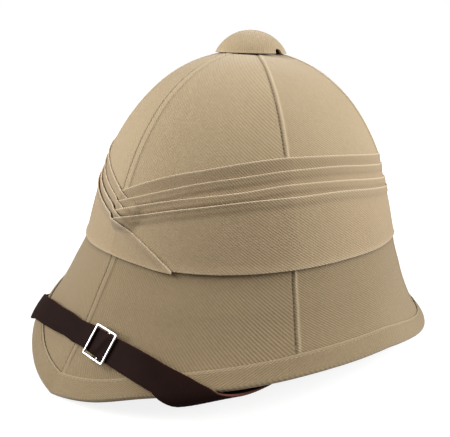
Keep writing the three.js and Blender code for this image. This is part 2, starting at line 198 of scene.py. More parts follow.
# From the helmet's own millimetres to metres as it stands on the floor
def standing(points):
    c, s = math.cos(shell["restTilt"]), math.sin(shell["restTilt"])
    x, y, z = points[..., 0], points[..., 1], points[..., 2]
    y, z = y * c - z * s + shell["centreShift"], y * s + z * c + shell["restLift"]
    return np.stack([x, y, np.maximum(z, 0)], -1) / 1000


def nothingSelected():
    if bpy.context.object and bpy.context.object.mode != "OBJECT":
        bpy.ops.object.mode_set(mode="OBJECT")
    bpy.ops.object.select_all(action="DESELECT")


def closeUp(piece):
    nothingSelected()
    bpy.context.view_layer.objects.active = piece
    piece.select_set(True)
    bpy.ops.object.mode_set(mode="EDIT")
    bpy.ops.mesh.select_all(action="SELECT")
    bpy.ops.mesh.remove_doubles(threshold=2e-6)
    bpy.ops.mesh.fill_holes(sides=0)
    bpy.ops.mesh.select_all(action="SELECT")
    bpy.ops.mesh.normals_make_consistent(inside=False)
    bpy.ops.object.mode_set(mode="OBJECT")
    bpy.ops.object.shade_smooth_by_angle(angle=math.radians(50))


# A grid whose columns follow the angles and whose rows are laid by the piece's own shape
def laidGrid(name, angles, rowCount, lay):
    nothingSelected()
    columns = len(angles)
    bpy.ops.mesh.primitive_grid_add(x_subdivisions=columns - 1, y_subdivisions=rowCount - 1, size=2)
    piece = bpy.context.object
    piece.name = name
    mesh = piece.data
    mesh.name = name
    flat = np.empty(len(mesh.vertices) * 3)
    mesh.vertices.foreach_get("co", flat)
    flat = (flat.reshape(-1, 3) + 1) / 2
    column = np.rint(flat[:, 0] * (columns - 1)).astype(int)
    row = np.rint(flat[:, 1] * (rowCount - 1)).astype(int)
    points, cloth, wearAndPaintedLight = lay(angles[column], row)
    mesh.vertices.foreach_set("co", standing(points).ravel())
    corner = np.empty(len(mesh.loops), int)
    mesh.loops.foreach_get("vertex_index", corner)
    mesh.uv_layers[0].data.foreach_set("uv", (cloth[corner] / 1000).ravel())
    # The attribute carries each piece's marks: painted highlights and painted shade on the cloth, the raw
    # edge on the strap.
    mesh.attributes.new("wearAndPaintedLight", "FLOAT", "POINT").data.foreach_set("value", wearAndPaintedLight.astype(np.float32))
    mesh.update()
    closeUp(piece)
    return piece


def finished(piece, material, slot, *nodes):
    piece.data.materials.clear()
    piece.data.materials.append(material)
    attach(piece, "root")
    if nodes:
        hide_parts(*nodes)
    print("made", piece.name, len(piece.data.polygons), "faces")


# Camera first
view = {"turn": 42.348, "distance": 449.502, "height": 210.73, "pitch": 16.069, "roll": 1.417,
        "focal": 588.156, "right": 22.009, "down": -5.613, "width": 450}


def makeCamera():
    a, p, r = (math.radians(view[key]) for key in ("turn", "pitch", "roll"))
    place = Vector((math.sin(a) * view["distance"], -math.cos(a) * view["distance"], view["height"]))
    right = Vector((math.cos(a), math.sin(a), 0))
    ahead = Vector((-math.sin(a) * math.cos(p), math.cos(a) * math.cos(p), -math.sin(p)))
    up = right.cross(ahead)
    across = right * math.cos(r) + up * math.sin(r)
    above = up * math.cos(r) - right * math.sin(r)
    tilt = Matrix.Rotation(shell["restTilt"], 4, "X")
    shift = Matrix.Translation((0, shell["centreShift"] / 1000, shell["restLift"] / 1000))
    axes = Matrix((across, above, -ahead)).transposed().to_4x4()
    bpy.ops.object.camera_add()
    camera = bpy.context.object
    camera.matrix_world = shift @ tilt @ Matrix.Translation(place / 1000) @ axes
    camera.data.sensor_fit = "HORIZONTAL"
    camera.data.sensor_width = 36
    camera.data.lens = 36 * view["focal"] / view["width"]
    camera.data.shift_x = -view["right"] / view["width"]
    camera.data.shift_y = view["down"] / view["width"]
    camera.data.clip_start = 0.01
    bpy.context.scene.camera = camera


makeCamera()
print("camera set")


# Materials
def addNode(tree, kind, links=None, **values):
    node = tree.nodes.new(kind)
    for key, value in values.items():
        setattr(node, key, value)
    for socket, source in (links or {}).items():
        if isinstance(source, bpy.types.NodeSocket):
            tree.links.new(source, node.inputs[socket])
        else:
            node.inputs[socket].default_value = source
    return node


def startMaterial(name):
    material = bpy.data.materials.new(name)
    material.use_nodes = True
    tree = material.node_tree
    return material, tree, tree.nodes["Principled BSDF"]


def mixColour(tree, share, first, second, blend="MIX"):
    node = addNode(tree, "ShaderNodeMix", data_type="RGBA", blend_type=blend)
    for socket, source in ((0, share), (6, first), (7, second)):
        if isinstance(source, bpy.types.NodeSocket):
            tree.links.new(source, node.inputs[socket])
        else:
            node.inputs[socket].default_value = source
    return node.outputs[2]


def math2(tree, operation, first, second, clamp=False):
    node = addNode(tree, "ShaderNodeMath", {0: first, 1: second}, operation=operation, use_clamp=clamp)
    return node.outputs[0]


cloth = {
    "ribPitch": 0.0014,      # twill rib, metres
    "ribSlant": -52,
    "threadPitch": 0.0006,
    "mottle": 11.0,
    "slub": 420.0,
    "relief": 0.00028,
}


def twillCloth(name, pale, deep, highlightAndWearPale, paintedShade):
    material, tree, shader = startMaterial(name)
    uv = addNode(tree, "ShaderNodeUVMap").outputs[0]
    place = addNode(tree, "ShaderNodeTexCoord").outputs["Object"]
    slant = (0, 0, math.radians(cloth["ribSlant"]))
    turned = addNode(tree, "ShaderNodeMapping", {"Vector": uv, "Rotation": slant}).outputs[0]
    wobble = {"Distortion": 1.2, "Detail": 2.0, "Detail Scale": 3.0}
    ribs = {"Vector": turned, "Scale": math.pi / 10 / cloth["ribPitch"], **wobble}
    threads = {"Vector": uv, "Scale": math.pi / 10 / cloth["threadPitch"], **wobble}
    rib = addNode(tree, "ShaderNodeTexWave", ribs)
    weft = addNode(tree, "ShaderNodeTexWave", threads, bands_direction="Y")
    warp = addNode(tree, "ShaderNodeTexWave", threads, bands_direction="X")
    mottle = addNode(tree, "ShaderNodeTexNoise", {"Vector": place, "Scale": cloth["mottle"], "Detail": 4.0})
    slub = addNode(tree, "ShaderNodeTexNoise", {"Vector": place, "Scale": cloth["slub"], "Detail": 3.0})
    streaks = addNode(tree, "ShaderNodeMapping", {"Vector": uv, "Scale": (900.0, 60.0, 1.0)}).outputs[0]
    streak = addNode(tree, "ShaderNodeTexNoise", {"Vector": streaks, "Scale": 1.0, "Detail": 2.0})
    tone = math2(tree, "MULTIPLY", rib.outputs["Fac"], 0.16)
    tone = math2(tree, "ADD", tone, math2(tree, "MULTIPLY", mottle.outputs["Fac"], 0.5))
    tone = math2(tree, "ADD", tone, math2(tree, "MULTIPLY", slub.outputs["Fac"], 0.45))
    tone = math2(tree, "ADD", tone, math2(tree, "MULTIPLY", streak.outputs["Fac"], 0.25))
    tone = math2(tree, "SUBTRACT", tone, 0.18, clamp=True)
    colour = mixColour(tree, tone, deep, pale)
    # A positive attribute turns the cloth pale for painted highlights and worn spots; a negative one darkens
    # it with painted shade.
    wearAndPaintedLight = addNode(tree, "ShaderNodeAttribute", attribute_name="wearAndPaintedLight").outputs["Fac"]
    paleShare = math2(tree, "MULTIPLY", wearAndPaintedLight, 1.0, clamp=True)
    shadeShare = math2(tree, "MULTIPLY", wearAndPaintedLight, -1.0, clamp=True)
    colour = mixColour(tree, paleShare, colour, highlightAndWearPale)
    colour = mixColour(tree, shadeShare, colour, paintedShade)
    tree.links.new(colour, shader.inputs["Base Color"])
    rough = addNode(tree, "ShaderNodeMapRange", {"Value": slub.outputs["Fac"], 3: 0.84, 4: 0.98}).outputs[0]
    tree.links.new(rough, shader.inputs["Roughness"])
    weave = math2(tree, "ADD", weft.outputs["Fac"], warp.outputs["Fac"])
    height = math2(tree, "ADD", math2(tree, "MULTIPLY", weave, 0.25), rib.outputs["Fac"])
    height = math2(tree, "ADD", height, math2(tree, "MULTIPLY", slub.outputs["Fac"], 0.9))
    bump = addNode(tree, "ShaderNodeBump", {"Height": height, "Strength": 0.55, "Distance": cloth["relief"]})
    tree.links.new(bump.outputs[0], shader.inputs["Normal"])
    shader.inputs["Specular IOR Level"].default_value = 0.15
    shader.inputs["Sheen Weight"].default_value = 0.28
    shader.inputs["Sheen Roughness"].default_value = 0.5
    return material


def plainThread(name, colour):
    material, tree, shader = startMaterial(name)
    place = addNode(tree, "ShaderNodeTexCoord").outputs["Object"]
    twist = addNode(tree, "ShaderNodeTexNoise", {"Vector": place, "Scale": 2200.0, "Detail": 2.0})
    shade = mixColour(tree, twist.outputs["Fac"], [c * 0.7 for c in colour[:3]] + [1], colour)
    tree.links.new(shade, shader.inputs["Base Color"])
    shader.inputs["Roughness"].default_value = 0.85
    return material


def strapLeather():
    material, tree, shader = startMaterial("strapLeather")
    place = addNode(tree, "ShaderNodeTexCoord").outputs["Object"]
    pores = addNode(tree, "ShaderNodeTexVoronoi", {"Vector": place, "Scale": 1500.0})
    grain = addNode(tree, "ShaderNodeTexNoise", {"Vector": place, "Scale": 380.0, "Detail": 5.0})
    patch = addNode(tree, "ShaderNodeTexNoise", {"Vector": place, "Scale": 38.0, "Detail": 3.0})
    colour = mixColour(tree, patch.outputs["Fac"], (0.0075, 0.0034, 0.0029, 1), (0.022, 0.0098, 0.0082, 1))
    wearAndPaintedLight = addNode(tree, "ShaderNodeAttribute", attribute_name="wearAndPaintedLight").outputs["Fac"]
    colour = mixColour(tree, math2(tree, "MULTIPLY", wearAndPaintedLight, 1.0, clamp=True), colour, (0.16, 0.062, 0.044, 1))
    tree.links.new(colour, shader.inputs["Base Color"])
    rough = addNode(tree, "ShaderNodeMapRange", {"Value": grain.outputs["Fac"], 3: 0.55, 4: 0.7}).outputs[0]
    tree.links.new(rough, shader.inputs["Roughness"])
    height = math2(tree, "ADD", math2(tree, "MULTIPLY", pores.outputs["Distance"], 0.5), grain.outputs["Fac"])
    bump = addNode(tree, "ShaderNodeBump", {"Height": height, "Strength": 0.3, "Distance": 0.00018})
    tree.links.new(bump.outputs[0], shader.inputs["Normal"])
    shader.inputs["Specular IOR Level"].default_value = 0.035
    return material


def platedSteel(name, roughLow, roughHigh):
    material, tree, shader = startMaterial(name)
    place = addNode(tree, "ShaderNodeTexCoord").outputs["Object"]
    drawn = {"Vector": place, "Scale": (300.0, 300.0, 2400.0)}
    brushed = addNode(tree, "ShaderNodeMapping", drawn).outputs[0]
    scratch = addNode(tree, "ShaderNodeTexNoise", {"Vector": brushed, "Scale": 1.0, "Detail": 4.0})
    dull = addNode(tree, "ShaderNodeTexNoise", {"Vector": place, "Scale": 160.0, "Detail": 3.0})
    colour = mixColour(tree, dull.outputs["Fac"], (0.4, 0.4, 0.41, 1), (0.6, 0.6, 0.61, 1))
    tree.links.new(colour, shader.inputs["Base Color"])
    rough = addNode(tree, "ShaderNodeMapRange", {"Value": scratch.outputs["Fac"], 3: roughLow, 4: roughHigh})
    tree.links.new(rough.outputs[0], shader.inputs["Roughness"])
    scored = {"Height": scratch.outputs["Fac"], "Strength": 0.12, "Distance": 0.00005}
    bump = addNode(tree, "ShaderNodeBump", scored)
    tree.links.new(bump.outputs[0], shader.inputs["Normal"])
    shader.inputs["Metallic"].default_value = 1.0
    return material


# Each cloth's third colour is the pale of painted highlights and worn spots, its fourth the dark of painted
# shade.
shellCloth = twillCloth("shellCloth", (0.47, 0.365, 0.228, 1), (0.315, 0.238, 0.141, 1),
                        (0.66, 0.54, 0.38, 1), (0.10, 0.072, 0.04, 1))
# The brim and its binding take a darker copy of the shell's cloth: painted shade.
brimShadedCloth = twillCloth("brimShadedCloth", (0.325, 0.245, 0.145, 1), (0.215, 0.157, 0.087, 1),
                       (0.52, 0.42, 0.28, 1), (0.075, 0.054, 0.03, 1))
wrapCloth = twillCloth("wrapCloth", (0.44, 0.333, 0.206, 1), (0.29, 0.212, 0.124, 1),
                       (0.72, 0.60, 0.44, 1), (0.10, 0.072, 0.042, 1))
seamThread = plainThread("seamThread", (0.11, 0.08, 0.05, 1))
hemThread = plainThread("hemThread", (0.52, 0.43, 0.30, 1))
leather = strapLeather()
steel = platedSteel("buckleSteel", 0.12, 0.3)
dullSteel = platedSteel("studSteel", 0.3, 0.5)
print("materials made")



def seamAngles(spacing):
    stops = list(np.arange(0, 360, spacing))
    for seam in seams["ridges"]:
        stops += list(seam + np.arange(-2.2, 2.21, 0.22))
    stops += list(np.mod(np.arange(-2.0, 6.01, 0.25), 360))
    stops = np.unique(np.round(np.mod(stops, 360), 3))
    keep = np.concatenate([[True], np.diff(stops) > 0.1])
    return np.append(stops[keep], 360.0)


def seamRelief(angle, level):
    radius = np.linalg.norm(outerPoint(angle, level)[..., :2], axis=-1)
    relief, wearAndPaintedLight = np.zeros_like(radius), np.zeros_like(radius)
    for seam in seams["ridges"]:
        away = np.radians(np.mod(angle - seam + 180, 360) - 180) * radius
        side = -1 if seam < 180 else 1
        groove = bell(away - seams["grooveAside"] * side, seams["grooveWidth"])
        relief += seams["ridgeRise"] * bell(away, seams["ridgeWidth"]) - seams["grooveDepth"] * groove
        # painted highlight on each ridge and painted shade in the groove beside it
        wearAndPaintedLight += seams["ridgeHighlight"] * bell(away, 0.75 * seams["ridgeWidth"]) - seams["grooveShade"] * groove
    away = np.radians(np.mod(angle - seams["front"] + 180, 360) - 180) * radius
    lap = smooth(away, 0.2, seams["lapEase"])
    lap = lap - smooth(away, seams["lapWidth"] - seams["lapEase"], seams["lapWidth"])
    relief += seams["lapRise"] * lap - 0.4 * bell(away, 0.7)
    # painted shade in the seam's crease and just past the lap's edge, painted highlight on the raised lap
    wearAndPaintedLight += -0.5 * bell(away, 0.6) + 0.12 * lap - 0.16 * bell(away - seams["lapWidth"] - 0.4, 0.9)
    return relief, wearAndPaintedLight


# Cloth coordinates in millimetres: round each panel from its middle, and up the wall
def panelCloth(angle, level):
    radius = np.linalg.norm(outerPoint(angle, level)[..., :2], axis=-1)
    panel = np.floor((np.mod(angle, 360) + 1e-6) / 60)
    across = np.radians(np.mod(angle, 360) - panel * 60 - 30) * radius
    return np.stack([across + panel * 260, levelHeight(angle, level) + panel * 37], -1)


crown = {"outerRows": 64, "innerRows": 16, "wall": 4, "ventShare": 0.07, "spacing": 1.8}


def layCrown(angle, row):
    vent = (1 - crown["ventShare"] ** (1 / shell["domeRound"])) ** (1 / shell["domePower"])
    outerShare = np.sin(np.linspace(0, math.pi / 2, crown["outerRows"]))
    innerShare = np.sin(np.linspace(math.pi / 2, 0, crown["innerRows"]))
    share = np.concatenate([outerShare, innerShare, outerShare[:1]])[row]
    outside = (row < crown["outerRows"]) | (row == crown["outerRows"] + crown["innerRows"])
    low = heightLevel(angle, np.full_like(angle, shell["joinHeight"] + 0.2))
    level = low + (vent - low) * share
    relief, wearAndPaintedLight = seamRelief(angle, level)
    offset = np.where(outside, relief, -crown["wall"])
    return skin(angle, level, offset), panelCloth(angle, level), np.where(outside, wearAndPaintedLight, 0)


crownRows = crown["outerRows"] + crown["innerRows"] + 1
crownCover = laidGrid("crown_cover", seamAngles(crown["spacing"]), crownRows, layCrown)
finished(crownCover, shellCloth, "shell_cloth", "crown")

brim = {"topRows": 6, "outerRows": 54, "innerRows": 18, "wall": 4, "edgeWall": 3, "spacing": 1.8}


def layBrim(angle, row):
    top = heightLevel(angle, np.full_like(angle, shell["joinHeight"] - shell["gap"]))
    down = np.linspace(0, 1, brim["outerRows"])
    upper = np.linspace(1, 0, brim["topRows"] + 1)[:-1]
    inner = np.linspace(1, -1, brim["innerRows"])
    share = np.concatenate([upper, -down, -inner, upper[:1]])[row]
    count = brim["topRows"] + brim["outerRows"]
    outside = (row < count) | (row == count + brim["innerRows"])
    level = np.where(share > 0, share * top, share)
    relief, wearAndPaintedLight = seamRelief(angle, level)
    fade = 1 - smooth(-level, 0.78, 0.86)   # flat where the binding lies over it
    wall = brim["wall"] + (brim["edgeWall"] - brim["wall"]) * np.clip(-level, 0, 1)
    offset = np.where(outside, relief * fade - 0.1, -wall)
    hem = levelHeight(angle, level) - readTable(folds["hem"], foldedAngle(angle))
    shade = -0.35 * smooth(hem, -3.5, -0.5)   # painted shadow under the wrap's hem
    return skin(angle, level, offset), panelCloth(angle, level), np.where(outside, wearAndPaintedLight + shade, 0)


brimRows = brim["topRows"] + brim["outerRows"] + brim["innerRows"] + 1
brimCover = laidGrid("brim_cover", seamAngles(brim["spacing"]), brimRows, layBrim)
finished(brimCover, brimShadedCloth, "shell_cloth", "brim")

# Folded cloth round the brim's edge
binding = {"outerLeg": 12, "innerLeg": 8, "wall": 1.0, "deep": 1.6, "legRows": 12, "rollRows": 12,
           "innerRows": 6, "spacing": 1.5}


def layBinding(angle, row):
    half, gap, edgeWall = binding["wall"] / 2, shell["gap"], brim["edgeWall"]
    outerLeg = binding["outerLeg"] * (1 - np.linspace(0, 1, binding["legRows"]) ** 1.5)
    innerLeg = np.linspace(0, binding["innerLeg"], binding["innerRows"] + 1)[1:]
    roll = np.linspace(0, math.pi, binding["rollRows"] + 1)[1:]
    steps = binding["legRows"] + binding["rollRows"] + binding["innerRows"]
    kind = np.repeat([0, 1, 2], [binding["legRows"], binding["rollRows"], binding["innerRows"]])
    measure = np.concatenate([outerLeg, roll, innerLeg])
    index = np.where(row < steps, row, np.where(row < 2 * steps, 2 * steps - 1 - row, 0))
    side = np.where((row < steps) | (row == 2 * steps), half, -half)
    rounded = np.where(kind[index] == 0, 0.1 + 0.9 * smooth(outerLeg[0] - measure[index], 0, 3.5), 1)
    side = side * np.where(side > 0, rounded, 1)   # the leg thins towards its top edge
    k, m = kind[index], measure[index]
    bottom = np.full_like(angle, -1.0)
    edge, (_, up, out) = outerPoint(angle, bottom), outerFrame(angle, bottom)
    wide, deep = edgeWall / 2 + gap + half, binding["deep"]
    turnOut = -edgeWall / 2 + (wide + side) * np.cos(m)
    turnDown = (deep + side) * np.sin(m)
    rolled = edge + out * turnOut[:, None] - up * turnDown[:, None]
    leg = legLevel(angle, np.where(k == 1, 0, m))
    outerSide = skin(angle, leg, gap + half + side)
    wall = brim["wall"] + (edgeWall - brim["wall"]) * np.clip(-leg, 0, 1)
    innerSide = skin(angle, leg, -wall - gap - half - side)
    points = np.where((k == 0)[:, None], outerSide, np.where((k == 1)[:, None], rolled, innerSide))
    radius = np.linalg.norm(edge[:, :2], axis=-1)
    # painted highlight along the outer leg's top edge; the roll is a little paler all over
    wearAndPaintedLight = np.where((k == 0) & (side > 0), 0.45 * bell(outerLeg[0] - m, 0.8), 0)
    wearAndPaintedLight = wearAndPaintedLight + np.where((k == 1) & (side > 0), 0.1, 0)
    clothPlace = np.stack([np.radians(angle) * radius, 2000 - m], -1)
    return points, clothPlace, wearAndPaintedLight


bindingSteps = binding["legRows"] + binding["rollRows"] + binding["innerRows"]
bindingAngles = np.append(np.arange(0, 360, binding["spacing"]), 360.0)
brimBinding = laidGrid("brim_edge_binding", bindingAngles, 2 * bindingSteps + 1, layBinding)
finished(brimBinding, brimShadedCloth, "shell_cloth", "brim_binding")

# Wrap: each fold is laid over what is already there, on a map of heights over the shell
wrap = {"cloth": 0.7, "clear": 0.12, "roll": 0.3, "tuck": 3.0, "cornerAngle": 24.5, "cornerSlope": 0.55,
        "cornerBow": 0.0185, "cornerLift": 0.7, "foldSlope": 1.1, "foldEnd": 6.5, "hemFlare": 0.8,
        "overlapFrom": 300, "outerRows": 26, "innerRows": 12, "capRows": 5}
mapAngle, mapHeight = 0.5, 0.5
mapLow, mapTop = 66.0, 152.0
layers = np.zeros((int(360 / mapAngle), int((mapTop - mapLow) / mapHeight)))


def draped(field, reach=3):
    wide = field
    for axis in (0, 1):
        shifted = [np.roll(wide, k, axis) for k in range(-reach, reach + 1)]
        wide = np.max(shifted, axis=0)
    for _ in range(2):
        for axis in (0, 1):
            wide = np.mean([np.roll(wide, k, axis) for k in (-1, 0, 1)], axis=0)
    return wide


def readMap(field, angle, height):
    a = np.mod(angle, 360) / mapAngle
    h = np.clip((height - mapLow) / mapHeight, 0, field.shape[1] - 1.001)
    i, j = np.floor(a).astype(int), np.floor(h).astype(int)
    u, v = a - i, h - j
    n = field.shape[0]
    i0, i1 = i % n, (i + 1) % n
    return ((field[i0, j] * (1 - v) + field[i0, j + 1] * v) * (1 - u)
            + (field[i1, j] * (1 - v) + field[i1, j + 1] * v) * u)


def foldTop(key, angle):
    turn = foldedAngle(angle)
    past = np.clip(angle - 360, 0, None)
    top = readTable(folds[key], turn)
    if key == "band":
        slant = folds["band"][0] - wrap["cornerSlope"] * past - wrap["cornerBow"] * past ** 2
    else:
        slant = folds[key][0] - wrap["foldSlope"] * past
    return np.where(angle > 360, slant, top)


def foldLow(key, nextKey, angle):
    turn = foldedAngle(angle)
    past = np.clip(angle - 360, 0, None)
    if key == "band":
        low = readTable(folds["hem"], turn) - 1.5 * past / wrap["cornerAngle"]
        start = foldTop("band", 360 + angle) - 5      # the start is cut away under the slanting end
        low = np.where(angle < 26, np.maximum(low, start), low)
    else:
        low = readTable(folds[nextKey], turn) - wrap["tuck"]
    return np.minimum(low, foldTop(key, angle) - 1.2)


def layFold(name, key, nextKey):
    global layers
    end = 360 + (wrap["cornerAngle"] if key == "band" else wrap["foldEnd"])
    grid = np.arange(layers.shape[0]) * mapAngle
    heights = mapLow + np.arange(layers.shape[1]) * mapHeight
    underFirst = draped(layers)

    def cover(field, under, angle, rows):
        inside = heights[None, :] <= foldTop(key, angle)[:, None]
        inside &= heights[None, :] >= foldLow(key, nextKey, angle)[:, None]
        laid = under[rows] + wrap["clear"] + wrap["cloth"]
        field[rows] = np.where(inside, np.maximum(field[rows], laid), field[rows])

    begun = layers.copy()
    first = grid <= wrap["overlapFrom"]
    cover(begun, underFirst, grid[first], np.flatnonzero(first))
    underTail = draped(begun)
    after = begun.copy()
    late = grid > wrap["overlapFrom"]
    cover(after, underFirst, grid[late], np.flatnonzero(late))
    tail = grid <= end - 360
    cover(after, underTail, grid[tail] + 360, np.flatnonzero(tail))
    layers = after

    capTurn = np.linspace(-math.pi / 2, math.pi / 2, wrap["capRows"] + 2)[1:-1]
    outerShare = 1 - np.linspace(0, 1, wrap["outerRows"]) ** 1.7
    innerShare = np.linspace(0, 1, wrap["innerRows"])
    rowCounts = [wrap["innerRows"], wrap["capRows"], wrap["outerRows"], wrap["capRows"], 1]
    kind = np.repeat([0, 1, 2, 3, 0], rowCounts)   # inside, top edge, outside, bottom edge, back to the start
    measure = np.concatenate([innerShare, capTurn, outerShare, -capTurn, [0]])

    def lay(angle, row):
        k, m = kind[row], measure[row]
        low, top = foldLow(key, nextKey, angle), foldTop(key, angle)
        r = wrap["cloth"] / 2
        share = np.where(k == 1, 1, np.where(k == 3, 0, m))
        body = low + r + (top - low - 2 * r) * share
        blend = smooth(angle, wrap["overlapFrom"], wrap["overlapFrom"] + 30)
        under = readMap(underFirst, angle, body) * (1 - blend) + readMap(underTail, angle, body) * blend
        inner = under + wrap["clear"]
        if key == "band":
            inner = inner + wrap["hemFlare"] * bell(body - low, 2.2)
        fat = wrap["roll"] * bell(top - body, 1.5)
        if key == "band":
            lift = smooth(angle, 360 + 14, end) * bell(top - body, 3.0)
            inner = inner + wrap["cornerLift"] * lift
        face = np.where(k == 2, wrap["cloth"] + fat, 0)
        capOut = (wrap["cloth"] + fat) * (1 + np.sin(np.where((k == 1) | (k == 3), m, 0))) / 2
        offset = inner + np.where((k == 1) | (k == 3), capOut, face)
        height = body + np.where(k == 1, r * np.cos(m), np.where(k == 3, -r * np.cos(m), 0))
        points = skin(angle, heightLevel(angle, height), offset)
        radius = np.linalg.norm(points[:, :2], axis=-1)
        outside = k >= 1
        # painted highlight along each fold's top edge and painted shade on the cloth just below it; on the
        # band also a painted highlight along its folded hem
        wearAndPaintedLight = np.where(outside, 0.75 * bell(top - height, 0.8) - 0.10 * bell(top - height - 4.2, 2.4), 0)
        if key == "band":
            wearAndPaintedLight = wearAndPaintedLight + np.where(outside, 0.22 * bell(height - low, 0.8), 0)
        clothPlace = np.stack([np.radians(angle) * 112, height + 3 * np.sin(np.radians(angle * 2))], -1)
        return points, clothPlace, wearAndPaintedLight

    fine, plain = 0.45, 1.5
    angles = [np.arange(0.2, 12, fine), np.arange(12, 348, plain), np.arange(348, end, fine), [end]]
    return laidGrid(name, np.unique(np.concatenate(angles)), len(kind), lay)


order = (("wrap_fold_1", "fold1", "fold2", "wrap_pleat_1"), ("wrap_fold_2", "fold2", "fold3", "wrap_pleat_2"),
         ("wrap_fold_3", "fold3", "band", "wrap_pleat_3"), ("wrap_wide_band", "band", "hem", "wrap_band"))
for name, key, nextKey, node in order:
    sheet = layFold(name, key, nextKey)
    finished(sheet, wrapCloth, "wrap_cloth", node)

# Domed cap over the vent, with one half-round notch in its rim
button = {"radius": 26.3, "height": 16, "wall": 1.6, "lift": 1.0, "lip": 0.35, "notch": 3.2, "notchAngle": 92,
          "rows": 26, "columns": 96}


def crownHeightAt(radius):
    level = np.linspace(0, 1, 20001)
    reach = np.linalg.norm(outerPoint(np.zeros_like(level), level)[:, :2], axis=-1)
    return float(levelHeight(np.zeros(1), level[np.argmin(np.abs(reach - radius))])[0])


def layButton(angle, row):
    ball = (button["radius"] ** 2 + button["height"] ** 2) / (2 * button["height"])
    rim = crownHeightAt(button["radius"]) + button["lift"]
    centre = rim + button["height"] - ball
    edgeTurn = math.asin(button["radius"] / ball)
    outerTurn = np.linspace(0.004, edgeTurn, button["rows"])
    lip = np.linspace(0, math.pi, 7)[1:-1]
    innerTurn = np.linspace(edgeTurn * 0.985, 0.004, button["rows"] // 2)
    r = button["wall"] / 2
    lipX = button["radius"] - r + r * np.cos(lip)
    lipZ = rim - button["lip"] * np.sin(lip)
    hollow = ball - button["wall"]
    reach = np.concatenate([ball * np.sin(outerTurn), lipX, hollow * np.sin(innerTurn)])
    height = np.concatenate([centre + ball * np.cos(outerTurn), lipZ, centre + hollow * np.cos(innerTurn)])
    x = reach[row] * np.sin(np.radians(angle))
    y = -reach[row] * np.cos(np.radians(angle))
    wearAndPaintedLight = np.where(row < button["rows"], 0.18 * bell(height[row] - rim, 1.2), 0)
    return np.stack([x, y, height[row]], -1), np.stack([x + 60, y + 900], -1), wearAndPaintedLight


buttonCap = laidGrid("vent_button_cap", np.linspace(0, 360, button["columns"] + 1),
                     button["rows"] + 5 + button["rows"] // 2, layButton)


def cutNotch():
    turn = math.radians(button["notchAngle"])
    way = np.array([math.sin(turn), -math.cos(turn), 0])
    rim = crownHeightAt(button["radius"]) + button["lift"]
    ends = standing(np.array([way * button["radius"] * share + [0, 0, rim] for share in (0.6, 1.4)]))
    start, stop = Vector(ends[0]), Vector(ends[1])
    nothingSelected()
    turned = (stop - start).to_track_quat("Z", "Y").to_euler()
    bpy.ops.mesh.primitive_cylinder_add(vertices=32, radius=button["notch"] / 1000, rotation=turned,
                                        depth=(stop - start).length, location=(start + stop) / 2)
    cutter = bpy.context.object
    nothingSelected()
    buttonCap.select_set(True)
    bpy.context.view_layer.objects.active = buttonCap
    cut = buttonCap.modifiers.new("notch", "BOOLEAN")
    cut.operation = "DIFFERENCE"
    cut.solver = "EXACT"
    cut.object = cutter
    bpy.ops.object.modifier_apply(modifier="notch")
    bpy.data.objects.remove(cutter, do_unlink=True)
    bpy.ops.object.shade_smooth_by_angle(angle=math.radians(40))


cutNotch()
finished(buttonCap, shellCloth, "shell_cloth", "vent_button")

# Chin strap over the front of the brim, its ends turned round the edge and up to the studs
strap = {"width": 16, "thickness": 2.0, "corner": 0.6, "end": 84, "humpAngle": 12, "hump": 0.6,
         "standOff": 3.4, "inside": 7.4, "fold": 16, "drop": 4.8, "full": 0.65,
         "sagDepth": 2.4, "sagAngle": 37, "sagSpan": 7,
         "leg": {0: 40.8, 6: 39.2, 12: 34.6, 18.5: 27.8, 25: 18.5, 30: 10.8, 36: 2, 40: -4.6, 45: -11.6,
                 50: -18, 56: -23.5, 64: -29.5, 72: -35, 84: -41.5}}


# Up the outside of the brim, round its edge, or up the inside
def strapPoint(angle, leg, lift):
    outside = leg > 0
    inside = leg < -strap["fold"]
    level = legLevel(angle, np.where(outside, leg, np.clip(-leg - strap["fold"], 0, None)))
    offset = np.where(outside, strap["standOff"] + lift, -strap["inside"] - lift)
    flat = outerPoint(angle, level) + outerFrame(angle, level)[2] * offset[:, None]
    turn = np.clip(-leg / strap["fold"], 0, 1) * math.pi
    bottom = np.full_like(angle, -1.0)
    _, up, out = outerFrame(angle, bottom)
    sag = strap["sagDepth"] * bell(np.abs(angle) - strap["sagAngle"], strap["sagSpan"])
    drop = strap["drop"] + sag + lift
    inward = (1 - np.cos(turn)) / 2
    outward = strap["standOff"] * (1 - inward) - strap["inside"] * inward + lift * np.cos(turn)
    down = drop * np.clip(np.sin(turn), 0, 1) ** strap["full"]
    turned = outerPoint(angle, bottom) + out * outward[:, None] - up * down[:, None]
    return np.where((outside | inside)[:, None], flat, turned)


def strapAt(angle, across, lift):
    leg = readTable(strap["leg"], np.abs(angle))
    none = np.zeros_like(angle)
    step = strapPoint(angle + 0.5, leg, none) - strapPoint(angle - 0.5, leg, none)
    ahead = np.linalg.norm(step, axis=-1)
    rise = readTable(strap["leg"], np.abs(angle + 0.5)) - readTable(strap["leg"], np.abs(angle - 0.5))
    run = np.hypot(ahead, rise)
    return strapPoint(angle - across * rise / run / ahead, leg + across * ahead / run, lift)


def strapFrame(angle):
    none = np.zeros_like(angle)
    along = unit(strapAt(angle + 1, none, none) - strapAt(angle - 1, none, none))
    width = strapAt(angle, none + 1, none) - strapAt(angle, none - 1, none)
    face = unit(np.cross(along, width))
    return strapAt(angle, none, none), along, np.cross(face, along), face


quarters = ((0, 1, 1), (90, -1, 1), (180, -1, -1), (270, 1, -1))


